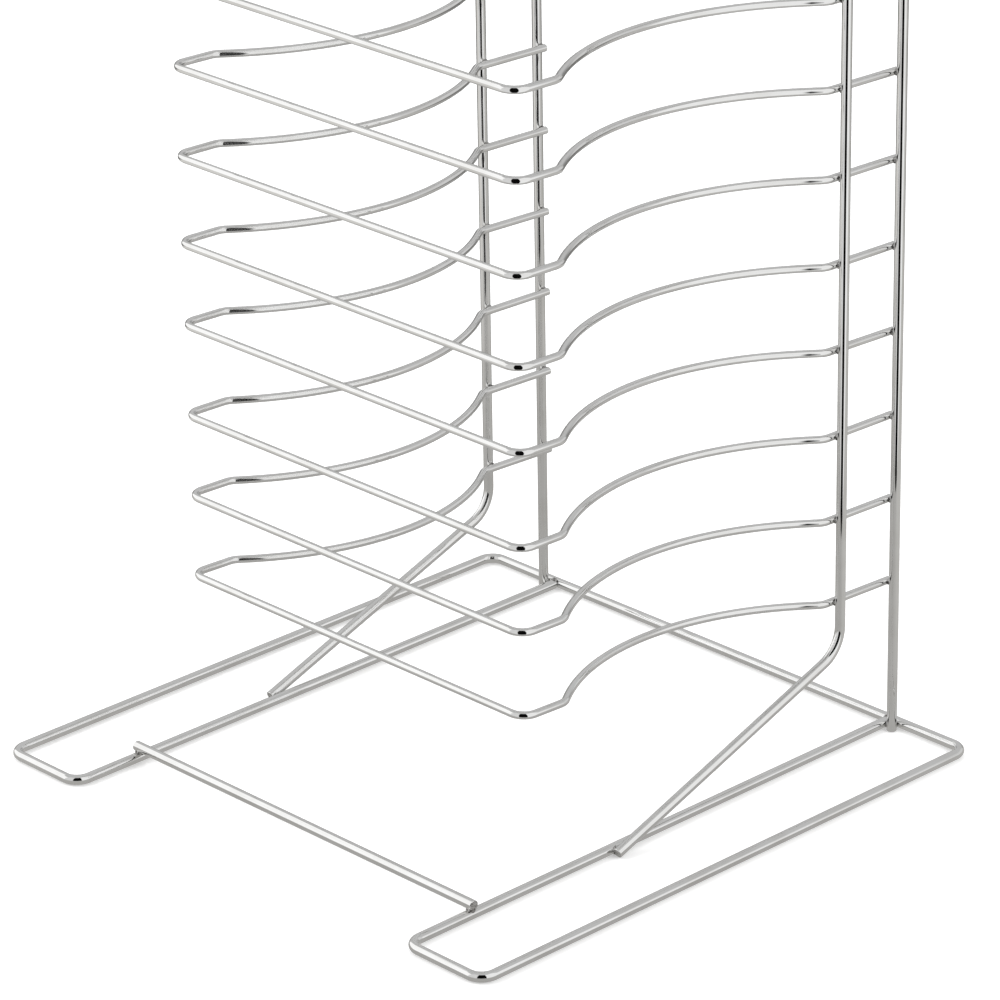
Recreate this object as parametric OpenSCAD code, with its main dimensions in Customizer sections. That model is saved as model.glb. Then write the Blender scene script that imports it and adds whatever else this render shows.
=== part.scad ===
// Wire rack for round pans: a bent base wire, two hooped side frames, a cross bar
// and fifteen U-shaped shelf wires, spot welded where the wires cross.
// Millimetres, +Z up, +X to the rack's right, +Y to its back. The origin is on the
// floor, under the middle of the base.

/* [Wire] */
// Diameter of the wire of the base, the side frames and the cross bar
frame_wire_d = 4.8; // [4:0.1:6]
// Diameter of the wire of the shelves
shelf_wire_d = 3.6; // [3:0.1:4.5]
// Space between the surfaces of two wires where a weld joins them
weld_gap = 0.1; // [0.05:0.05:0.3]

/* [Base] */
// Width between the centre-lines of the outer rails
outer_rail_w = 315; // [290:1:340]
// Width between the centre-lines of the inner rails
inner_rail_w = 222; // [210:1:240]
// Depth from the centre-line of the front ends to that of the back rail
base_d = 310; // [300:1:340]
// Bend radius of the base corners, on the centre-line
base_corner_r = 7.5; // [6:0.5:14]
// Distance from the centre-line of the front ends back to the cross bar
cross_bar_setback = 38.4; // [25:0.1:70]
// Length of the cross bar past the centre-line of each inner rail
cross_bar_overhang = 2; // [0:0.5:8]

/* [Side frames] */
// Height from the floor to the top of the hoops
side_frame_h = 685.8; // [680:0.1:760]
// Distance between the centre-lines of the rear and the front upright
upright_spacing = 36.5; // [30:0.5:50]
// Bend radius of the two corners of a hoop, on the centre-line
hoop_corner_r = 17; // [8:0.5:17]
// Height of the corner where the brace leaves the front upright
brace_h = 54; // [40:1:60]
// Slope of the brace above the floor, in degrees
brace_slope = 19.65; // [17:0.05:25]
// Bend radius between the front upright and the brace, on the centre-line
brace_bend_r = 17; // [8:1:25]

/* [Shelf wires] */
// Number of shelf wires
shelf_count = 15; // [1:1:15]
// Height of the lowest shelf wire, at the rear uprights
lowest_shelf_h = 75.4; // [70:0.1:80]
// Height from the highest shelf wire, at the rear uprights, to the top of the hoops
top_shelf_drop = 32.55; // [28:0.05:60]
// Length of the arms behind the centre-line of the rear uprights
arm_tail = 1.2; // [0:0.1:2]
// Distance from the rear uprights forward to the front bar
front_bar_ahead = 232.2; // [225:0.1:250]
// Width between the centre-lines of the two sides just behind the front bar
front_w = 218.6; // [217:0.1:222]
// Least width between the two inward curves of the sides
waist_w = 164.8; // [155:0.1:166]
// Distance from the rear uprights forward to the waist
waist_ahead = 126.8; // [120:0.1:130]
// Radius of the inward curves, on the centre-line
waist_r = 132; // [120:1:135]
// Slope of each end of an inward curve to the rack's depth, in degrees
waist_slope = 35.5; // [30:0.25:36]
// Radius of the small bends before and after an inward curve
small_bend_r = 8; // [4:0.5:12]
// Bend radius of the front corners, on the centre-line
front_corner_r = 7.5; // [6:0.5:12]

/* [Welds] */
// Radius of the weld beads between a shelf wire and an upright
shelf_bead_r = 1.9; // [1.5:0.1:2.1]
// Radius of the weld beads under the cross bar and at the braces' ends
frame_bead_r = 2.2; // [1.8:0.1:2.2]
// Distance from a brace's cut end back to its weld bead
brace_bead_back = 2; // [1:0.5:6]
// Radius of the weld beads round the feet of the rear uprights
foot_bead_r = 1.6; // [1.2:0.1:1.6]

/* [Hidden] */
// Rise of the front bar above the arms' rear ends, lowest shelf first
front_rises = [9, 7.5, 6, 9, 7, 7, 8, 6.5, 7.5, 7.5, 7.5, 7.5, 7.5, 7.5, 7.5];

chrome_colour = [0.79, 0.79, 0.78];
weld_colour = [0.45, 0.44, 0.43];
$fn = 64;
// Turns that lay a ball's poles across the rack, along its depth or upright
poles_across = [0, 90, 0];
poles_along = [90, 0, 0];
poles_upright = [0, 0, 0];
// How much thicker than the straights a bend is, and how far they reach into it
bend_swell = 0.02;
bend_reach = 0.2;

frame_r = frame_wire_d / 2;
shelf_r = shelf_wire_d / 2;
inner_rail_x = inner_rail_w / 2;
outer_rail_x = outer_rail_w / 2;
back_rail_y = base_d / 2;
cross_bar_y = cross_bar_setback - back_rail_y;
cross_bar_z = 3 * frame_r + weld_gap;
// The cut ends of the inner rails stop just short of the back rail
rail_end_y = back_rail_y - frame_r - weld_gap;
// The uprights stand outside the inner rails and in front of the back rail
upright_x = inner_rail_x + frame_wire_d + weld_gap;
rear_upright_y = back_rail_y - frame_wire_d - weld_gap;
front_upright_y = rear_upright_y - upright_spacing;
// The arms of the shelf wires run inside the uprights
arm_x = upright_x - frame_r - shelf_r - weld_gap;
// The brace's end is cut square and its lower edge is on the floor
brace_end_z = frame_r * cos(brace_slope);
brace_end_y = front_upright_y - (brace_h - brace_end_z) / tan(brace_slope);
// Middles of the gaps beside an inner rail and in front of the back rail
beside_rail_x = inner_rail_x + frame_r + weld_gap / 2;
before_back_y = back_rail_y - frame_r - weld_gap / 2;

// The shelf wires are evenly spaced from the lowest to the highest
shelf_pitch = (side_frame_h - top_shelf_drop - lowest_shelf_h) / max(shelf_count - 1, 1);

shelf_numbers = [1 : shelf_count];
function two_digits(n) = n < 10 ? str("0", n) : str(n);
function shelf_name(n) = str("shelf_wire_", two_digits(n));
function weld_name(n) = str("shelf_welds_", two_digits(n));
function shelf_tilt(n) = asin(front_rises[n - 1] / front_bar_ahead);
function shelf_z(n) = lowest_shelf_h + (n - 1) * shelf_pitch;

// Signed angle by which a path turns at a point, positive to the left
function turn(before, at, after) =
    let (way_in = at - before, way_out = after - at)
    atan2(way_in.x * way_out.y - way_in.y * way_out.x, way_in * way_out);

// Length that the bend at a path's point takes from the straights on either side
function setback(points, radii, i) =
    i == 0 || i == len(points) - 1
        ? 0
        : radii[i] * tan(abs(turn(points[i - 1], points[i], points[i + 1])) / 2);

// A straight round wire between two points of the XY plane
module straight_wire(start, stop, d) {
    way = stop - start;
    translate(start)
        rotate([0, 90, atan2(way.y, way.x)])
            cylinder(h = norm(way), d = d);
}

// The bend of a round wire at the middle one of three points of the XY plane
module wire_bend(before, at, after, r, d) {
    angle = turn(before, at, after);
    way_in = (at - before) / norm(at - before);
    to_centre = sign(angle) * [-way_in.y, way_in.x];
    start = at - way_in * r * tan(abs(angle) / 2);
    translate(start + r * to_centre)
        rotate(atan2(-to_centre.y, -to_centre.x) + min(angle, 0))
            rotate_extrude(angle = abs(angle))
                translate([r, 0])
                    circle(d = d);
}

// A round wire along a path in the XY plane, with a bend radius for each point. Each
// bend is a hair thicker than the straights, whose ends reach a little way into it.
module bent_wire(points, radii, d) {
    last = len(points) - 1;
    for (i = [0 : last - 1]) {
        way = (points[i + 1] - points[i]) / norm(points[i + 1] - points[i]);
        reach_in = i == 0 ? 0 : bend_reach;
        reach_out = i == last - 1 ? 0 : bend_reach;
        straight_wire(
            points[i] + way * (setback(points, radii, i) - reach_in),
            points[i + 1] - way * (setback(points, radii, i + 1) - reach_out),
            d
        );
    }
    for (i = [1 : last - 1])
        wire_bend(points[i - 1], points[i], points[i + 1], radii[i], d + bend_swell);
}

// Points of a half path on the right, then the same points mirrored to the left
function mirrored_path(half) = concat(half, [for (i = [len(half) - 1 : -1 : 0]) [-half[i].x, half[i].y]]);
function mirrored_radii(half) = concat(half, [for (i = [len(half) - 1 : -1 : 0]) half[i]]);

// One wire on the floor: each inner rail, round its front end into the outer rail,
// and the back rail that joins the two sides
module base_wire() {
    half = [
        [inner_rail_x, rail_end_y],
        [inner_rail_x, -back_rail_y],
        [outer_rail_x, -back_rail_y],
        [outer_rail_x, back_rail_y]
    ];
    half_radii = [0, base_corner_r, base_corner_r, base_corner_r];
    color(chrome_colour)
        translate([0, 0, frame_r])
            bent_wire(mirrored_path(half), mirrored_radii(half_radii), frame_wire_d);
}

// A straight bar that lies across the two inner rails near their front ends
module front_cross_bar() {
    color(chrome_colour)
        translate([0, cross_bar_y, cross_bar_z])
            rotate([0, 90, 0])
                cylinder(h = inner_rail_w + 2 * cross_bar_overhang, d = frame_wire_d, center = true);
}

// One wire in an upright plane: rear upright, hoop, front upright and brace
module side_frame(side) {
    hoop_z = side_frame_h - frame_r;
    path = [
        [rear_upright_y, 0],
        [rear_upright_y, hoop_z],
        [front_upright_y, hoop_z],
        [front_upright_y, brace_h],
        [brace_end_y, brace_end_z]
    ];
    color(chrome_colour)
        translate([side * upright_x, 0, 0])
            rotate([90, 0, 90])
                bent_wire(path, [0, hoop_corner_r, hoop_corner_r, brace_bend_r, 0], frame_wire_d);
}

// Places its children in the tilted plane of a shelf, with the rear uprights at y = 0
module in_shelf_plane(n) {
    translate([0, rear_upright_y, shelf_z(n)])
        rotate([-shelf_tilt(n), 0, 0])
            children();
}

// One wire round the front of a pan: arm, inward curve, corner and half the front bar
// on the right, and the same on the left
module shelf_wire(n) {
    curve_corner_x = waist_w / 2 + waist_r - waist_r / cos(waist_slope);
    arm_bend_y = -waist_ahead + (arm_x - curve_corner_x) / tan(waist_slope);
    front_bend_y = -waist_ahead - (front_w / 2 - curve_corner_x) / tan(waist_slope);
    half = [
        [arm_x, arm_tail],
        [arm_x, arm_bend_y],
        [curve_corner_x, -waist_ahead],
        [front_w / 2, front_bend_y],
        [front_w / 2, -front_bar_ahead]
    ];
    half_radii = [0, small_bend_r, waist_r, small_bend_r, front_corner_r];
    color(chrome_colour)
        in_shelf_plane(n)
            bent_wire(mirrored_path(half), mirrored_radii(half_radii), shelf_wire_d);
}

// A weld bead: a ball at the given place, less the two wires that it joins. The ball's
// poles lie on the line from wire to wire
module bead(place, r, poles = poles_across) {
    difference() {
        translate(place)
            rotate(poles)
                sphere(r = r);
        children();
    }
}

// The four weld beads that join a shelf wire's arms to the uprights
module shelf_welds(n) {
    bead_x = arm_x + shelf_r + weld_gap / 2;
    stretch = 4 * shelf_bead_r;
    color(weld_colour)
        for (side = [-1, 1], upright_y = [rear_upright_y, front_upright_y])
            translate([0, upright_y, shelf_z(n) + (rear_upright_y - upright_y) * tan(shelf_tilt(n))])
                bead([side * bead_x, 0, 0], shelf_bead_r) {
                    translate([side * upright_x, 0, 0])
                        cylinder(h = stretch, r = frame_r, center = true);
                    translate([side * arm_x, 0, 0])
                        rotate([90 - shelf_tilt(n), 0, 0])
                            cylinder(h = stretch, r = shelf_r, center = true);
                }
}

// The right half's wires where the base's welds are: an inner rail, the back rail, the
// cross bar, and the foot of the rear upright and of the brace
module inner_rail_stretch() {
    translate([inner_rail_x, rail_end_y, frame_r])
        rotate([90, 0, 0])
            cylinder(h = base_d - base_corner_r, r = frame_r);
}

module back_rail_stretch() {
    translate([0, back_rail_y, frame_r])
        rotate([0, 90, 0])
            cylinder(h = outer_rail_x, r = frame_r);
}

module cross_bar_stretch() {
    translate([0, cross_bar_y, cross_bar_z])
        rotate([0, 90, 0])
            cylinder(h = inner_rail_x + cross_bar_overhang, r = frame_r);
}

module rear_upright_stretch() {
    translate([upright_x, rear_upright_y, 0])
        cylinder(h = brace_h, r = frame_r);
}

module brace_stretch() {
    translate([upright_x, brace_end_y, brace_end_z])
        rotate([-90 + brace_slope, 0, 0])
            cylinder(h = brace_h, r = frame_r);
}

// The weld beads under the cross bar and between the braces and the inner rails
module front_base_welds() {
    under_bar_z = frame_wire_d + weld_gap / 2;
    color(weld_colour)
        for (side = [-1, 1])
            mirror([side < 0 ? 1 : 0, 0, 0]) {
                bead([inner_rail_x, cross_bar_y, under_bar_z], frame_bead_r, poles_upright) {
                    inner_rail_stretch();
                    cross_bar_stretch();
                }
                bead([beside_rail_x, brace_end_y + brace_bead_back, brace_end_z], frame_bead_r) {
                    inner_rail_stretch();
                    brace_stretch();
                }
            }
}

// The weld beads round the feet of the rear uprights and at the inner rails' cut ends
module rear_base_welds() {
    rail_end_z = frame_wire_d - foot_bead_r / 2;
    color(weld_colour)
        for (side = [-1, 1])
            mirror([side < 0 ? 1 : 0, 0, 0]) {
                bead([beside_rail_x, rear_upright_y, frame_r], foot_bead_r) {
                    inner_rail_stretch();
                    rear_upright_stretch();
                }
                bead([upright_x, before_back_y, frame_r], foot_bead_r, poles_along) {
                    back_rail_stretch();
                    rear_upright_stretch();
                }
                bead([inner_rail_x, before_back_y, rail_end_z], foot_bead_r, poles_along) {
                    inner_rail_stretch();
                    back_rail_stretch();
                }
            }
}

base_wire();
front_cross_bar();
side_frame(-1);  // left_side_frame
side_frame(1);  // right_side_frame
front_base_welds();
rear_base_welds();
for (n = shelf_numbers) {
    shelf_wire(n);
    shelf_welds(n);
}
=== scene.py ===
"""A pizza pan rack of chrome wire: its wires, its weld spots, the studio round it and the camera."""

import logging
import math
from dataclasses import dataclass, field
from enum import Enum
from typing import Optional, Union

import bmesh
import bpy
from mathutils import Matrix, Vector, noise

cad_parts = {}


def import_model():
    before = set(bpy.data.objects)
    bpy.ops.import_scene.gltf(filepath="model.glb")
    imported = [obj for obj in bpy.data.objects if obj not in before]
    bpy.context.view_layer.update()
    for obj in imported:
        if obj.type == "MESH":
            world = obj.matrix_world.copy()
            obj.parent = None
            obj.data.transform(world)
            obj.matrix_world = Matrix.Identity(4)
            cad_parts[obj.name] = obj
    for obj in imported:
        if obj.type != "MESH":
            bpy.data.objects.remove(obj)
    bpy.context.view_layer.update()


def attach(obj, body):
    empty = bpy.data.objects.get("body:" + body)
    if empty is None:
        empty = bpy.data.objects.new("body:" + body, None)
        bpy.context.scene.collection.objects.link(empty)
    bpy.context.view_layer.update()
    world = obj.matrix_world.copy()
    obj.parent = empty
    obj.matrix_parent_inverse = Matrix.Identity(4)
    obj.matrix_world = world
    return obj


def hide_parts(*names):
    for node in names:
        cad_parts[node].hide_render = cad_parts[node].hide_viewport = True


log = logging.getLogger("pizza_pan_rack")

MM = 0.001
BODY = "root"


class Side(Enum):
    """The two halves of the rack, by the sign of x."""

    LEFT = -1
    RIGHT = 1


class Slot(Enum):
    """The record's material slots."""

    WIRE = "wire"
    WELD = "weld"


class Value:
    """A shader socket that takes part in Python arithmetic."""

    def __init__(self, maker: "ShaderMaker", socket: bpy.types.NodeSocket) -> None:
        """Wrap a socket.

        Args:
            maker: the maker of the tree that the socket is in.
            socket: an output socket.
        """
        self.maker = maker
        self.socket = socket

    def _math(self, operation: str, *others: "Number", clamp: bool = False) -> "Value":
        """Add one Math node.

        Args:
            operation: the Math node's operation.
            others: what its further sockets take.
            clamp: whether the result is kept from 0 to 1.

        Returns:
            The node's result.
        """
        values = {0: self, **{i + 1: other for i, other in enumerate(others)}}
        node = self.maker.node("ShaderNodeMath", {"operation": operation, "use_clamp": clamp}, values)
        return Value(self.maker, node.outputs[0])

    def __add__(self, other: "Number") -> "Value":
        """Add."""
        return self._math("ADD", other)

    def __sub__(self, other: "Number") -> "Value":
        """Subtract."""
        return self._math("SUBTRACT", other)

    def __rsub__(self, other: float) -> "Value":
        """Subtract from a number."""
        return self._math("MULTIPLY", -1.0)._math("ADD", other)

    def __mul__(self, other: "Number") -> "Value":
        """Multiply."""
        return self._math("MULTIPLY", other)

    __radd__ = __add__
    __rmul__ = __mul__

    def clamped(self) -> "Value":
        """Keep the value from 0 to 1."""
        return self._math("ADD", 0.0, clamp=True)

    def power(self, exponent: float) -> "Value":
        """Raise the value to a power."""
        return self._math("POWER", exponent)

    def rises(self, start: float, end: float) -> "Value":
        """Go smoothly from 0 to 1.

        Args:
            start: where the result starts to leave 0.
            end: where it reaches 1.

        Returns:
            The smooth step.
        """
        node = self.maker.node(
            "ShaderNodeMapRange",
            {"interpolation_type": "SMOOTHSTEP"},
            {"Value": self, "From Min": start, "From Max": end},
        )
        return Value(self.maker, node.outputs["Result"])

    def within(self, low: float, high: float, soft: float) -> "Value":
        """Mask a range.

        Args:
            low: the range's lower end.
            high: its upper end.
            soft: the width of the change at each end.

        Returns:
            1 inside the range and 0 outside it.
        """
        return self.rises(low - soft / 2, low + soft / 2) * (1.0 - self.rises(high - soft / 2, high + soft / 2))

    def towards(self, target: "Number", share: "Value") -> "Value":
        """Blend this value with another.

        Args:
            target: what it becomes where the share is 1.
            share: how much of the target shows.

        Returns:
            The blend.
        """
        return self * (1.0 - share) + share * target


Number = Union[Value, float]


@dataclass
class ShaderMaker:
    """Adds nodes to one tree."""

    tree: bpy.types.NodeTree

    def node(self, kind: str, settings: Optional[dict] = None, values: Optional[dict] = None) -> bpy.types.Node:
        """Add a node.

        Args:
            kind: the node's type.
            settings: its properties, with a ramp's stops under "stops".
            values: numbers or links of its input sockets, by name or index.

        Returns:
            The new node.
        """
        made = self.tree.nodes.new(kind)
        for key, setting in (settings or {}).items():
            if key == "stops":
                self._set_stops(made.color_ramp, setting)
            else:
                setattr(made, key, setting)
        for key, value in (values or {}).items():
            socket = made.inputs[key]
            if isinstance(value, Value):
                self.tree.links.new(value.socket, socket)
            elif isinstance(value, bpy.types.NodeSocket):
                self.tree.links.new(value, socket)
            else:
                socket.default_value = value
        return made

    @staticmethod
    def _set_stops(ramp: bpy.types.ColorRamp, stops: list) -> None:
        """Set a ramp's stops.

        Args:
            ramp: a new ramp, with its two stops.
            stops: pairs of place and colour.
        """
        while len(ramp.elements) < len(stops):
            ramp.elements.new(1.0)
        for element, (place, colour) in zip(ramp.elements, stops):
            element.position = place
            element.color = (*colour, 1.0)

    def noise(self, vector: bpy.types.NodeSocket, scale: float, detail: float, roughness: float = 0.5) -> Value:
        """Add a noise pattern.

        Args:
            vector: the coordinates that it follows.
            scale: its scale.
            detail: its octaves.
            roughness: how strong the finer octaves are.

        Returns:
            The noise, about 0.5.
        """
        values = {"Vector": vector, "Scale": scale, "Detail": detail, "Roughness": roughness}
        return Value(self, self.node("ShaderNodeTexNoise", None, values).outputs[0])

    def stretched(self, vector: bpy.types.NodeSocket, by: tuple) -> bpy.types.NodeSocket:
        """Scale coordinates along each axis.

        Args:
            vector: the coordinates.
            by: three factors.

        Returns:
            The scaled coordinates.
        """
        return self.node("ShaderNodeVectorMath", {"operation": "MULTIPLY"}, {0: vector, 1: by}).outputs[0]

    def dot(self, vector: bpy.types.NodeSocket, axis: tuple) -> Value:
        """Measure coordinates along an axis.

        Args:
            vector: the coordinates.
            axis: a unit vector.

        Returns:
            The dot product.
        """
        node = self.node("ShaderNodeVectorMath", {"operation": "DOT_PRODUCT"}, {0: vector, 1: axis})
        return Value(self, node.outputs["Value"])

    def mixed_colour(self, share: Value, first: "Colour", second: "Colour") -> bpy.types.NodeSocket:
        """Mix two colours.

        Args:
            share: how much of the second shows.
            first: a colour or a colour socket.
            second: a colour or a colour socket.

        Returns:
            The mixed colour.
        """
        ends = [c if isinstance(c, bpy.types.NodeSocket) else (*c, 1.0) for c in (first, second)]
        return self.node("ShaderNodeMix", {"data_type": "RGBA"}, {0: share, 6: ends[0], 7: ends[1]}).outputs[2]


Colour = Union[tuple, bpy.types.NodeSocket]


@dataclass(frozen=True)
class Finish:
    """A metal surface whose colour, gloss and relief vary over it."""

    name: str

    def material(self) -> bpy.types.Material:
        """Make the material, or find it where it is made already.

        Returns:
            The material.
        """
        found = bpy.data.materials.get(self.name)
        if found:
            return found
        made = bpy.data.materials.new(self.name)
        made.use_nodes = True
        made.node_tree.nodes.clear()
        maker = ShaderMaker(made.node_tree)
        shader = maker.node("ShaderNodeBsdfPrincipled", None, {"Metallic": 1.0})
        self.dress(maker, shader)
        maker.node("ShaderNodeOutputMaterial", None, {"Surface": shader.outputs[0]})
        return made

    def dress(self, maker: ShaderMaker, shader: bpy.types.Node) -> None:
        """Link the surface's patterns to its shader.

        Args:
            maker: the material's maker.
            shader: its Principled shader.
        """
        raise NotImplementedError


@dataclass(frozen=True)
class ChromePlate(Finish):
    """Bright chrome over drawn wire, with faint lines along the wire and soft clouds in the gloss."""

    name: str = "bright_chrome"
    clear: tuple = (0.80, 0.80, 0.795)
    cloudy: tuple = (0.72, 0.715, 0.70)
    roughness: float = 0.03
    roughness_spread: float = 0.04
    line_depth: float = 0.0000008
    ripple_depth: float = 0.000004

    def dress(self, maker: ShaderMaker, shader: bpy.types.Node) -> None:
        """Link the plate's clouds, drawn lines and pits.

        Args:
            maker: the material's maker.
            shader: its Principled shader.
        """
        lay = maker.node("ShaderNodeAttribute", {"attribute_name": "lay"}).outputs["Vector"]
        place = maker.node("ShaderNodeTexCoord").outputs["Object"]
        clouds = maker.noise(place, 55.0, 3.0)
        lines = maker.noise(maker.stretched(lay, (25.0, 5.5, 5.5)), 1.0, 3.0, 0.6)
        ripples = maker.noise(maker.stretched(lay, (38.0, 0.5, 0.5)), 1.0, 1.0)
        pits = maker.noise(place, 2600.0, 1.0).rises(0.70, 0.78)
        dull = (clouds.rises(0.40, 0.70) * 0.6 + lines.rises(0.45, 0.75) * 0.4).clamped()
        colour = maker.mixed_colour(dull, self.clear, self.cloudy)
        rough = dull * self.roughness_spread + pits * 0.12 + self.roughness
        low = maker.node("ShaderNodeBump", None, {"Strength": 1.0, "Distance": self.ripple_depth, "Height": ripples})
        fine = maker.node(
            "ShaderNodeBump",
            None,
            {"Strength": 1.0, "Distance": self.line_depth, "Height": lines, "Normal": low.outputs[0]},
        )
        links = maker.tree.links
        links.new(colour, shader.inputs["Base Color"])
        links.new(rough.socket, shader.inputs["Roughness"])
        links.new(fine.outputs[0], shader.inputs["Normal"])


@dataclass(frozen=True)
class CutSteel(Finish):
    """A sheared wire end under thin plate: dull, with the blade's parallel drag marks."""

    name: str = "cut_wire_end"
    bright: tuple = (0.70, 0.70, 0.69)
    dark: tuple = (0.36, 0.35, 0.34)
    roughness: float = 0.30

    def dress(self, maker: ShaderMaker, shader: bpy.types.Node) -> None:
        """Link the drag marks and the grain.

        Args:
            maker: the material's maker.
            shader: its Principled shader.
        """
        place = maker.node("ShaderNodeTexCoord").outputs["Object"]
        marks = maker.noise(maker.stretched(place, (300.0, 300.0, 2600.0)), 1.0, 2.0)
        grain = maker.noise(place, 1500.0, 2.0)
        worn = (marks * 0.6 + grain * 0.4).rises(0.36, 0.64)
        relief = maker.node("ShaderNodeBump", None, {"Strength": 1.0, "Distance": 0.00005, "Height": marks})
        links = maker.tree.links
        links.new(maker.mixed_colour(worn, self.dark, self.bright), shader.inputs["Base Color"])
        links.new((grain * 0.2 + self.roughness - 0.1).socket, shader.inputs["Roughness"])
        links.new(relief.outputs[0], shader.inputs["Normal"])


@dataclass(frozen=True)
class WeldMetal(Finish):
    """Plated weld metal: grey, lumpy and speckled with dark scale and bright grains."""

    name: str = "plated_weld"
    grey: tuple = (0.46, 0.45, 0.44)
    scale: tuple = (0.07, 0.065, 0.06)
    grain: tuple = (0.88, 0.88, 0.87)
    roughness: float = 0.20

    def dress(self, maker: ShaderMaker, shader: bpy.types.Node) -> None:
        """Link the scale, the grains and the lumps.

        Args:
            maker: the material's maker.
            shader: its Principled shader.
        """
        place = maker.node("ShaderNodeTexCoord").outputs["Object"]
        patches = maker.noise(place, 700.0, 3.0, 0.6)
        grains = maker.noise(place, 1500.0, 2.0, 0.6)
        scaled = patches.rises(0.46, 0.60)
        colour = maker.mixed_colour(scaled, self.grey, self.scale)
        colour = maker.mixed_colour(grains.rises(0.58, 0.66), colour, self.grain)
        relief = maker.node("ShaderNodeBump", None, {"Strength": 1.0, "Distance": 0.00025, "Height": grains})
        links = maker.tree.links
        links.new(colour, shader.inputs["Base Color"])
        links.new((scaled * 0.30 + self.roughness).socket, shader.inputs["Roughness"])
        links.new(relief.outputs[0], shader.inputs["Normal"])


@dataclass
class BentWire:
    """One wire of round section, bent in a flat plane and cut square at both ends."""

    points: list
    radii: list
    radius: float
    sides: int = 28
    chamfer: float = 0.22 * MM
    longest_step: float = 60 * MM
    bend_step: float = math.radians(6.5)
    mesh: bmesh.types.BMesh = field(default_factory=bmesh.new, repr=False)

    def build(self, place: Matrix) -> bmesh.types.BMesh:
        """Draw the wire along its path.

        Args:
            place: the matrix from the path's plane to the rack.

        Returns:
            The closed mesh, in the rack's frame.
        """
        self.lay = self.mesh.verts.layers.float_vector.new("lay")
        self.at = Vector((*self.points[0], 0.0))
        self.angle = self._heading(0)
        self.travelled = 0.0
        self._first_ring()
        self._cap()
        self._straight(self.chamfer, self.radius / (self.radius - self.chamfer))
        begun = self.chamfer
        for i in range(1, len(self.points) - 1):
            turn = self._wrapped(self._heading(i) - self._heading(i - 1))
            cut = self.radii[i] * math.tan(abs(turn) / 2)
            leg = (Vector(self.points[i]) - Vector(self.points[i - 1])).length
            self._straight(leg - begun - cut)
            self._bend(self.radii[i], turn)
            begun = cut
        leg = (Vector(self.points[-1]) - Vector(self.points[-2])).length
        self._straight(leg - begun - self.chamfer)
        self._straight(self.chamfer, (self.radius - self.chamfer) / self.radius)
        self._cap()
        bmesh.ops.recalc_face_normals(self.mesh, faces=self.mesh.faces)
        for face in self.mesh.faces:
            face.smooth = len(face.verts) == 4
            face.material_index = 0 if face.smooth else 1
        for edge in self.mesh.edges:
            edge.smooth = len(edge.link_faces) == 2 and edge.calc_face_angle() < math.radians(30)
        bmesh.ops.transform(self.mesh, matrix=place, verts=self.mesh.verts)
        return self.mesh

    def _heading(self, leg: int) -> float:
        """Give the direction of a leg, as an angle in the plane."""
        step = Vector(self.points[leg + 1]) - Vector(self.points[leg])
        return math.atan2(step.y, step.x)

    @staticmethod
    def _wrapped(angle: float) -> float:
        """Bring an angle between half a turn back and half a turn on."""
        return (angle + math.pi) % (2 * math.pi) - math.pi

    def _axes(self) -> tuple:
        """Give the directions to the left, up and ahead at the wire's end."""
        ahead = Vector((math.cos(self.angle), math.sin(self.angle), 0.0))
        return Vector((-ahead.y, ahead.x, 0.0)), Vector((0.0, 0.0, 1.0)), ahead

    def _first_ring(self) -> None:
        """Start the wire with a ring across its path."""
        left, over, ahead = self._axes()
        matrix = Matrix((left, over, ahead)).transposed().to_4x4()
        matrix.translation = self.at
        bmesh.ops.create_circle(
            self.mesh, cap_ends=False, segments=self.sides, radius=self.radius - self.chamfer, matrix=matrix
        )
        self.ring = list(self.mesh.edges)
        self._mark(self.mesh.verts)

    def _mark(self, verts: list) -> None:
        """Write where vertices lie on the wire: the length so far and the direction round it.

        Args:
            verts: the vertices of the last ring.
        """
        left, over, _ = self._axes()
        for vert in verts:
            out = (vert.co - self.at).normalized()
            vert[self.lay] = (self.travelled, out.dot(left), out.dot(over))

    def _cap(self) -> None:
        """Close the last ring with the cut face."""
        bmesh.ops.contextual_create(self.mesh, geom=self.ring)

    def _straight(self, length: float, swell: float = 1.0) -> None:
        """Draw a straight stretch.

        Args:
            length: how long it is.
            swell: how much wider its end is than its start.
        """
        if length <= 1e-7:
            return
        steps = max(1, math.ceil(length / self.longest_step))
        for _ in range(steps):
            made = bmesh.ops.extrude_edge_only(self.mesh, edges=self.ring)["geom"]
            verts = [v for v in made if isinstance(v, bmesh.types.BMVert)]
            _, _, ahead = self._axes()
            step = ahead * (length / steps)
            bmesh.ops.translate(self.mesh, verts=verts, vec=step)
            self.at = self.at + step
            if swell != 1.0:
                space = Matrix.Translation(-self.at)
                bmesh.ops.scale(self.mesh, vec=(swell, swell, swell), space=space, verts=verts)
            self.travelled += length / steps
            self.ring = [e for e in made if isinstance(e, bmesh.types.BMEdge)]
            self._mark(verts)

    def _bend(self, radius: float, turn: float) -> None:
        """Draw a bend.

        Args:
            radius: the bend's radius on the centre line.
            turn: its angle, positive to the left.
        """
        left, over, _ = self._axes()
        centre = self.at + left * (radius * (1 if turn > 0 else -1))
        steps = max(2, math.ceil(abs(turn) / self.bend_step), math.ceil(radius * abs(turn) / (5 * MM)))
        for _ in range(steps):
            verts = list(dict.fromkeys(v for e in self.ring for v in e.verts))
            made = bmesh.ops.spin(
                self.mesh, geom=verts + self.ring, cent=centre, axis=over, angle=turn / steps, steps=1
            )["geom_last"]
            spun = Matrix.Rotation(turn / steps, 3, over)
            self.at = centre + spun @ (self.at - centre)
            self.angle += turn / steps
            self.travelled += radius * abs(turn) / steps
            self.ring = [e for e in made if isinstance(e, bmesh.types.BMEdge)]
            self._mark([v for v in made if isinstance(v, bmesh.types.BMVert)])


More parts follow.
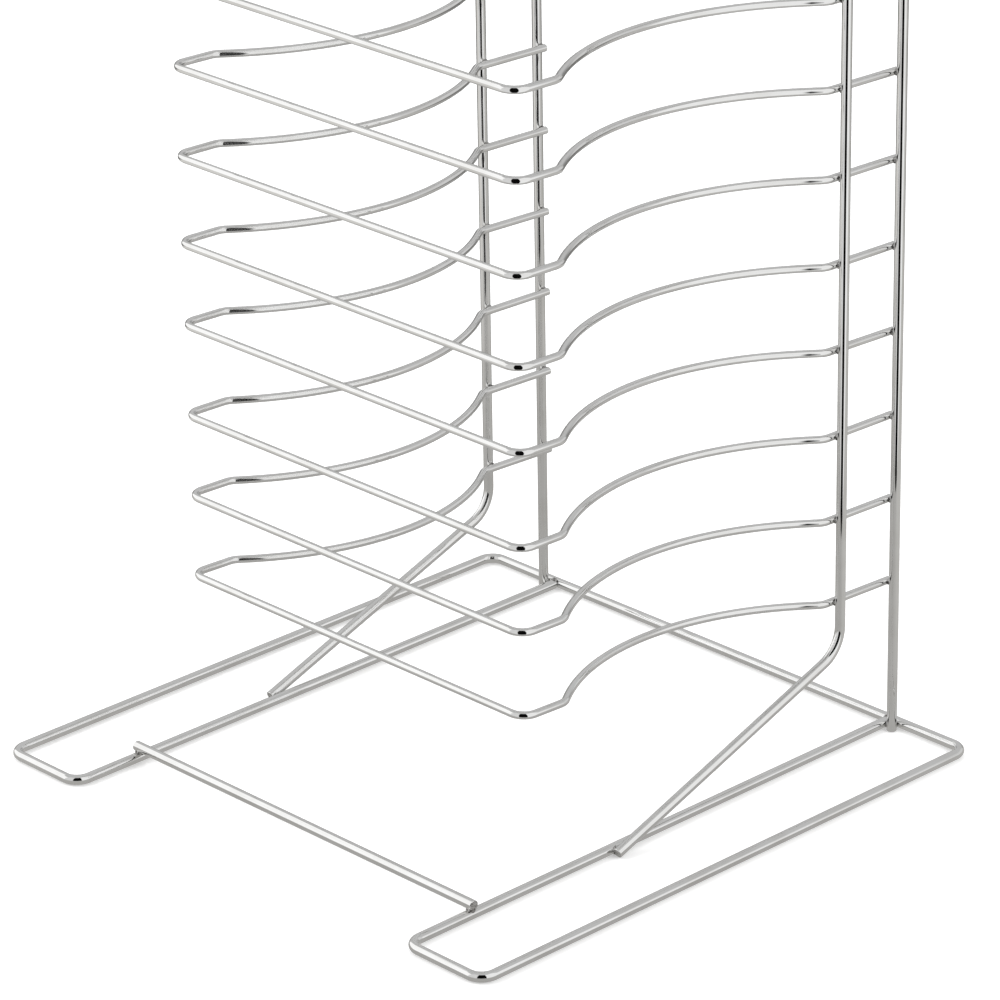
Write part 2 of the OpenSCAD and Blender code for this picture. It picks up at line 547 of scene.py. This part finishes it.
@dataclass
class Piece:
    """One finished object that stands for a CAD node."""

    name: str
    node: str
    slot: Slot
    finishes: tuple

    def finish(self, mesh: bmesh.types.BMesh) -> bpy.types.Object:
        """Turn a mesh into the piece, dress it and fix it to the rack.

        Args:
            mesh: the piece's mesh, in the rack's frame.

        Returns:
            The object.
        """
        data = bpy.data.meshes.new(self.name)
        mesh.to_mesh(data)
        mesh.free()
        made = bpy.data.objects.new(self.name, data)
        bpy.context.scene.collection.objects.link(made)
        for finish in self.finishes:
            data.materials.append(finish.material())
        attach(made, BODY)
        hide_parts(self.node)
        log.info("%s stands for %s: %d faces", self.name, self.node, len(data.polygons))
        return made


WIRE_FINISHES = (ChromePlate(), CutSteel())


@dataclass
class Base:
    """The base: one long wire that outlines both feet and the back, and the front cross bar on it."""

    wire_radius: float = 2.4 * MM
    inner_x: float = 111 * MM
    outer_x: float = 157.5 * MM
    back_y: float = 155 * MM
    rail_end_y: float = 152.5 * MM
    corner_radius: float = 7.5 * MM
    bar_y: float = -116.6 * MM
    bar_z: float = 7.3 * MM
    bar_end_x: float = 113 * MM

    def build(self) -> None:
        """Build the outline wire and the cross bar."""
        half = [
            (self.inner_x, self.rail_end_y),
            (self.inner_x, -self.back_y),
            (self.outer_x, -self.back_y),
            (self.outer_x, self.back_y),
        ]
        points = [(-x, y) for x, y in half] + half[::-1]
        radii = [0.0] + [self.corner_radius] * 6 + [0.0]
        outline = BentWire(points, radii, self.wire_radius).build(Matrix.Translation((0, 0, self.wire_radius)))
        Piece("chrome_base_wire", "base_wire", Slot.WIRE, WIRE_FINISHES).finish(outline)
        bar = BentWire([(-self.bar_end_x, 0), (self.bar_end_x, 0)], [0, 0], self.wire_radius)
        place = Matrix.Translation((0, self.bar_y, self.bar_z))
        Piece("chrome_cross_bar", "front_cross_bar", Slot.WIRE, WIRE_FINISHES).finish(bar.build(place))


@dataclass
class SideFrame:
    """A side frame: rear upright, hoop, front upright and brace in one wire."""

    side: Side
    wire_radius: float = 2.4 * MM
    upright_x: float = 115.9 * MM
    rear_y: float = 150.1 * MM
    front_y: float = 113.6 * MM
    hoop_z: float = 683.4 * MM
    hoop_radius: float = 17 * MM
    brace_top_z: float = 54 * MM
    brace_end_y: float = -31.3 * MM
    brace_end_z: float = 2.26 * MM
    brace_radius: float = 17 * MM

    def build(self) -> None:
        """Build the bent wire upright in its plane."""
        points = [
            (self.rear_y, 0.0),
            (self.rear_y, self.hoop_z),
            (self.front_y, self.hoop_z),
            (self.front_y, self.brace_top_z),
            (self.brace_end_y, self.brace_end_z),
        ]
        radii = [0.0, self.hoop_radius, self.hoop_radius, self.brace_radius, 0.0]
        place = Matrix(((0, 0, 1, self.side.value * self.upright_x), (1, 0, 0, 0), (0, 1, 0, 0), (0, 0, 0, 1)))
        mesh = BentWire(points, radii, self.wire_radius).build(place)
        word = self.side.name.lower()
        Piece(f"chrome_{word}_side_frame", f"{word}_side_frame", Slot.WIRE, WIRE_FINISHES).finish(mesh)


@dataclass
class PanWire:
    """One shelf: a wire that holds a pan at its rim, from the right uprights round the front to the left."""

    number: int
    rise: float
    wire_radius: float = 1.8 * MM
    pitch: float = 41.275 * MM
    lowest_z: float = 75.4 * MM
    rear_y: float = 150.1 * MM
    arm_x: float = 111.6 * MM
    arm_tail: float = 1.2 * MM
    front_ahead: float = 232.2 * MM
    front_x: float = 109.3 * MM
    waist_x: float = 82.4 * MM
    waist_ahead: float = 126.8 * MM
    waist_radius: float = 132 * MM
    waist_slope: float = math.radians(35.5)
    small_radius: float = 8 * MM
    front_radius: float = 7.5 * MM

    @property
    def height(self) -> float:
        """Give the height of the arms' rear ends."""
        return self.lowest_z + (self.number - 1) * self.pitch

    @property
    def tilt(self) -> float:
        """Give the angle by which the wire rises to its front."""
        return math.asin(self.rise / self.front_ahead)

    def half_path(self) -> list:
        """Give the right half's points in the wire's plane, from the arm's cut end to the front corner."""
        corner_x = self.waist_x + self.waist_radius - self.waist_radius / math.cos(self.waist_slope)
        slope = math.tan(self.waist_slope)
        return [
            (self.arm_x, self.arm_tail),
            (self.arm_x, -self.waist_ahead + (self.arm_x - corner_x) / slope),
            (corner_x, -self.waist_ahead),
            (self.front_x, -self.waist_ahead - (self.front_x - corner_x) / slope),
            (self.front_x, -self.front_ahead),
        ]

    def build(self) -> None:
        """Build the wire in its tilted plane."""
        half = self.half_path()
        radii = [0.0, self.small_radius, self.waist_radius, self.small_radius, self.front_radius]
        place = Matrix.Translation((0, self.rear_y, self.height)) @ Matrix.Rotation(-self.tilt, 4, "X")
        points = half + [(-x, y) for x, y in half[::-1]]
        mesh = BentWire(points, radii + radii[::-1], self.wire_radius, sides=26).build(place)
        word = f"{self.number:02d}"
        Piece(f"chrome_pan_wire_{word}", f"shelf_wire_{word}", Slot.WIRE, WIRE_FINISHES).finish(mesh)


@dataclass
class WeldSpot:
    """A lump of weld metal that has run between two crossing wires, with a few grains of spatter."""

    place: Vector
    radius: float
    along: Vector
    seed: float
    lump: float = 0.24
    grains: int = 4

    def add_to(self, mesh: bmesh.types.BMesh) -> None:
        """Add the lump and its spatter to a mesh.

        Args:
            mesh: the mesh of all the spots that share a node.
        """
        turn = self.along.to_track_quat("X", "Z").to_matrix().to_4x4()
        made = bmesh.ops.create_icosphere(mesh, subdivisions=3, radius=1.0)["verts"]
        shift = Vector((self.seed * 3.7, self.seed * 1.9, self.seed * 5.3))
        for vert in made:
            swell = noise.noise(vert.co * 1.7 + shift) * self.lump + noise.noise(vert.co * 4.3 + shift) * self.lump / 2
            vert.co *= 1.0 + swell
        size = Matrix.Diagonal((self.radius * 1.05, self.radius * 0.92, self.radius * 0.92, 1.0))
        bmesh.ops.transform(mesh, matrix=Matrix.Translation(self.place) @ turn @ size, verts=made)
        for i in range(self.grains):
            self._add_grain(mesh, i)

    def _add_grain(self, mesh: bmesh.types.BMesh, index: int) -> None:
        """Add one grain of spatter close to the lump.

        Args:
            mesh: the mesh that takes it.
            index: which grain it is.
        """
        pick = Vector((self.seed * 7.1 + index * 2.3, index * 5.7, self.seed * 2.9))
        way = Vector([noise.noise(pick + Vector((9.3 * axis, 0, 0))) for axis in range(3)]).normalized()
        way.x *= 0.3
        at = self.place + way.normalized() * self.radius * 0.98
        size = self.radius * (0.16 + 0.10 * abs(noise.noise(pick * 1.3)))
        bmesh.ops.create_icosphere(mesh, subdivisions=2, radius=size, matrix=Matrix.Translation(at))


@dataclass
class Welds:
    """All the weld spots of the rack."""

    upright_x: float = 115.9 * MM
    rail_x: float = 111 * MM
    beside_x: float = 113.45 * MM
    rear_y: float = 150.1 * MM
    front_y: float = 113.6 * MM
    before_back_y: float = 152.55 * MM
    shelf_radius: float = 1.9 * MM
    frame_radius: float = 2.2 * MM
    foot_radius: float = 1.6 * MM
    brace_spot: tuple = (-29.3 * MM, 2.26 * MM)
    bar_spot: tuple = (-116.6 * MM, 4.85 * MM)
    frame_wire_z: float = 2.4 * MM
    rail_end_z: float = 4.0 * MM

    def build_shelf(self, wire: PanWire) -> None:
        """Build the four spots between a pan wire's arms and the uprights.

        Args:
            wire: the pan wire.
        """
        mesh = bmesh.new()
        for side in Side:
            for k, y in enumerate((self.rear_y, self.front_y)):
                height = wire.height + (self.rear_y - y) * math.tan(wire.tilt)
                place = Vector((side.value * self.beside_x, y, height))
                seed = wire.number + 0.37 * k + 0.19 * side.value
                WeldSpot(place, self.shelf_radius, Vector((0, 1, 0)), seed).add_to(mesh)
        word = f"{wire.number:02d}"
        self._finish(mesh, f"weld_spots_{word}", f"shelf_welds_{word}")

    def build_base(self) -> None:
        """Build the spots of the cross bar, the braces, the feet and the rails' cut ends."""
        front, rear = bmesh.new(), bmesh.new()
        ahead, across, upward = Vector((0, 1, 0)), Vector((1, 0, 0)), Vector((0, 0, 1))
        for side in Side:
            s = side.value
            spots = [
                (front, (s * self.rail_x, *self.bar_spot), self.frame_radius, across),
                (front, (s * self.beside_x, *self.brace_spot), self.frame_radius, ahead),
                (rear, (s * self.beside_x, self.rear_y, self.frame_wire_z), self.foot_radius, upward),
                (rear, (s * self.upright_x, self.before_back_y, self.frame_wire_z), self.foot_radius, upward),
                (rear, (s * self.rail_x, self.before_back_y, self.rail_end_z), self.foot_radius, across),
            ]
            for k, (mesh, place, radius, along) in enumerate(spots):
                WeldSpot(Vector(place), radius, along, 31 + k + 0.43 * s, lump=0.2).add_to(mesh)
        self._finish(front, "front_weld_spots", "front_base_welds")
        self._finish(rear, "rear_weld_spots", "rear_base_welds")

    @staticmethod
    def _finish(mesh: bmesh.types.BMesh, name: str, node: str) -> None:
        """Smooth a mesh of spots and turn it into a piece.

        Args:
            mesh: the spots.
            name: the piece's name.
            node: the CAD node that it stands for.
        """
        bmesh.ops.recalc_face_normals(mesh, faces=mesh.faces)
        for face in mesh.faces:
            face.smooth = True
        Piece(name, node, Slot.WELD, (WeldMetal(),)).finish(mesh)


@dataclass(frozen=True)
class Panel:
    """A lit or dark panel of the studio, as the chrome sees it, in degrees from the camera."""

    name: str
    turn: tuple
    tilt: tuple
    level: float
    soft: float = 5.0


@dataclass
class Studio:
    """The white studio: a pale table that shows painted floor light in the chrome, a softbox to the left, panels to
    both sides and a dark gap between.
    """

    camera_turn: float = math.radians(46.36)
    table_front: float = 0.265
    room_level: float = 0.60
    panels: tuple = (
        Panel("behind", (-140.0, 140.0), (-90.0, 10.0), 0.25, 20.0),
        Panel("softbox_skirt", (-150.0, -60.0), (-90.0, 5.0), 0.92, 14.0),
        Panel("softbox", (-146.0, -64.0), (-2.0, 50.0), 1.20, 6.0),
        Panel("left_panel", (-70.0, -24.0), (-90.0, 66.0), 0.80, 6.0),
        Panel("right_panel", (22.0, 90.0), (-90.0, 66.0), 1.00, 4.0),
        Panel("right_wall", (88.0, 140.0), (-12.0, 30.0), 0.74, 10.0),
        Panel("dark_gap", (-24.0, 22.0), (-90.0, 66.0), 0.003, 3.0),
    )

    @property
    def to_camera(self) -> tuple:
        """Give the level direction from the rack to the camera."""
        return (math.sin(self.camera_turn), -math.cos(self.camera_turn), 0.0)

    @property
    def to_right(self) -> tuple:
        """Give the level direction to the camera's right."""
        return (math.cos(self.camera_turn), math.sin(self.camera_turn), 0.0)

    def build(self) -> None:
        """Build the world, the table and the lamps."""
        self._build_world()
        self._build_table()
        for name, turn, height, size, power in (
            ("left_lamp", -85.0, 1.5, 1.4, 22.0),
            ("right_lamp", 60.0, 1.3, 1.2, 14.0),
            ("top_lamp", 180.0, 2.2, 1.6, 14.0),
        ):
            self._build_lamp(name, turn, height, size, power)

    def _build_world(self) -> None:
        """Light the rack: white to the camera, and the room and its panels to the chrome."""
        world = bpy.data.worlds.new("studio_room")
        bpy.context.scene.world = world
        world.use_nodes = True
        world.node_tree.nodes.clear()
        maker = ShaderMaker(world.node_tree)
        way = maker.node("ShaderNodeTexCoord").outputs["Generated"]
        turn = maker.dot(way, self.to_right)._math("ARCTAN2", maker.dot(way, self.to_camera)) * math.degrees(1)
        tilt = maker.dot(way, (0.0, 0.0, 1.0))._math("ARCSINE") * math.degrees(1)
        level = turn * 0.0 + self.room_level
        for panel in self.panels:
            share = turn.within(*panel.turn, panel.soft) * tilt.within(*panel.tilt, panel.soft)
            if panel.name == "behind":
                share = (1.0 - turn.within(*panel.turn, panel.soft)) * tilt.within(*panel.tilt, panel.soft)
            level = level.towards(panel.level, share)
        path = maker.node("ShaderNodeLightPath").outputs
        seen = Value(maker, path["Is Camera Ray"])
        mirrored = (Value(maker, path["Is Glossy Ray"]) + Value(maker, path["Is Transmission Ray"])).clamped()
        strength = (level * mirrored + (1.0 - mirrored) * 0.75).towards(1.0, seen)
        background = maker.node("ShaderNodeBackground", None, {"Color": (1, 1, 1, 1), "Strength": strength})
        maker.node("ShaderNodeOutputWorld", None, {"Surface": background.outputs[0]})

    def _build_table(self) -> None:
        """Lay the pale table that the rack stands on: white with the rack's shadow to the camera, and in the chrome a
        painted floor light, lighter to the left, darker towards the back and warm.
        """
        mesh = bmesh.new()
        bmesh.ops.create_grid(mesh, x_segments=1, y_segments=1, size=6.0)
        data = bpy.data.meshes.new("table")
        mesh.to_mesh(data)
        mesh.free()
        table = bpy.data.objects.new("table", data)
        bpy.context.scene.collection.objects.link(table)
        table.location.z = -0.0002
        made = bpy.data.materials.new("pale_table")
        made.use_nodes = True
        made.node_tree.nodes.clear()
        maker = ShaderMaker(made.node_tree)
        place = maker.node("ShaderNodeTexCoord").outputs["Object"]
        ahead = maker.dot(place, self.to_camera)
        right = maker.dot(place, self.to_right)
        # painted light: the floor as the chrome sees it, lighter to the left and darker towards the back
        level = right.rises(0.10, 0.40) * 0.12 + 0.46
        level = level.towards(0.78, (right * -1.0).rises(0.10, 0.60))
        level = level.towards(0.22, (ahead * -1.0).rises(0.20, 0.70))
        path = maker.node("ShaderNodeLightPath").outputs
        mirrored = (Value(maker, path["Is Glossy Ray"]) + Value(maker, path["Is Transmission Ray"])).clamped()
        # the table glows: evenly white to the camera, and with the painted floor light in the chrome
        even_glow_and_painted_floor_light = (level * mirrored).towards(0.32, Value(maker, path["Is Camera Ray"]))
        # a painted warm tint in the floor's reflection
        warm = maker.mixed_colour(mirrored, (1.0, 1.0, 1.0), (1.0, 0.985, 0.955))
        floor_glow_and_painted_reflection = maker.node("ShaderNodeEmission", None, {"Color": warm, "Strength": even_glow_and_painted_floor_light})
        paper = maker.node("ShaderNodeBsdfDiffuse", None, {"Color": (0.82, 0.82, 0.82, 1.0)})
        # in the chrome the table takes no lamp light and shows only its painted glow
        dark = maker.node("ShaderNodeBsdfDiffuse", None, {"Color": (0.0, 0.0, 0.0, 1.0)})
        lit = maker.node("ShaderNodeMixShader", None, {0: mirrored, 1: paper.outputs[0], 2: dark.outputs[0]})
        top = maker.node("ShaderNodeAddShader", None, {0: lit.outputs[0], 1: floor_glow_and_painted_reflection.outputs[0]})
        clear = maker.node("ShaderNodeBsdfTransparent")
        gone = mirrored * ahead.rises(self.table_front - 0.002, self.table_front + 0.002)
        whole = maker.node("ShaderNodeMixShader", None, {0: gone, 1: top.outputs[0], 2: clear.outputs[0]})
        maker.node("ShaderNodeOutputMaterial", None, {"Surface": whole.outputs[0]})
        data.materials.append(made)

    def _build_lamp(self, name: str, turn: float, height: float, size: float, power: float) -> None:
        """Hang a soft lamp that points at the rack.

        Args:
            name: the lamp's name.
            turn: its direction in degrees to the right of the camera's.
            height: its height in metres.
            size: its width in metres.
            power: its power in watts.
        """
        data = bpy.data.lights.new(name, "AREA")
        data.size = size
        data.energy = power
        lamp = bpy.data.objects.new(name, data)
        lamp.visible_glossy = False
        bpy.context.scene.collection.objects.link(lamp)
        angle = math.radians(turn)
        ahead, right = Vector(self.to_camera), Vector(self.to_right)
        lamp.location = (ahead * math.cos(angle) + right * math.sin(angle)) * 1.8 + Vector((0, 0, height))
        aim = Vector((0, 0, 0.2)) - lamp.location
        lamp.rotation_euler = aim.to_track_quat("-Z", "Y").to_euler()


@dataclass
class Viewpoint:
    """The camera, where the photograph was taken from."""

    place: tuple = (1.6008, -1.5157, 1.0871)
    turn: float = math.radians(46.3654)
    down: float = math.radians(23.4946)
    roll: float = math.radians(-0.92)
    lens: float = 190.8

    def build(self) -> None:
        """Set up the camera."""
        data = bpy.data.cameras.new("camera")
        data.sensor_width = 36.0
        data.lens = self.lens
        data.clip_end = 50.0
        camera = bpy.data.objects.new("camera", data)
        bpy.context.scene.collection.objects.link(camera)
        level = math.cos(self.down)
        ahead = Vector((-math.sin(self.turn) * level, math.cos(self.turn) * level, -math.sin(self.down)))
        right = Vector((math.cos(self.turn), math.sin(self.turn), 0.0))
        over = right.cross(ahead)
        side = right * math.cos(self.roll) + over * math.sin(self.roll)
        top = side.cross(ahead)
        matrix = Matrix((side, top, -ahead)).transposed().to_4x4()
        matrix.translation = self.place
        camera.matrix_world = matrix
        bpy.context.scene.camera = camera


def main() -> None:
    """Build the rack piece by piece, then the studio and the camera."""
    logging.basicConfig(level=logging.INFO, format="%(name)s: %(message)s")
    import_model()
    bpy.context.scene.view_settings.view_transform = "Standard"
    Base().build()
    for side in Side:
        SideFrame(side).build()
    welds = Welds()
    welds.build_base()
    rises = [9, 7.5, 6, 9, 7, 7, 8, 6.5] + [7.5] * 7
    for number, rise in enumerate(rises, 1):
        wire = PanWire(number, rise * MM)
        wire.build()
        welds.build_shelf(wire)
    Studio().build()
    Viewpoint().build()


if __name__ == "__main__":
    main()
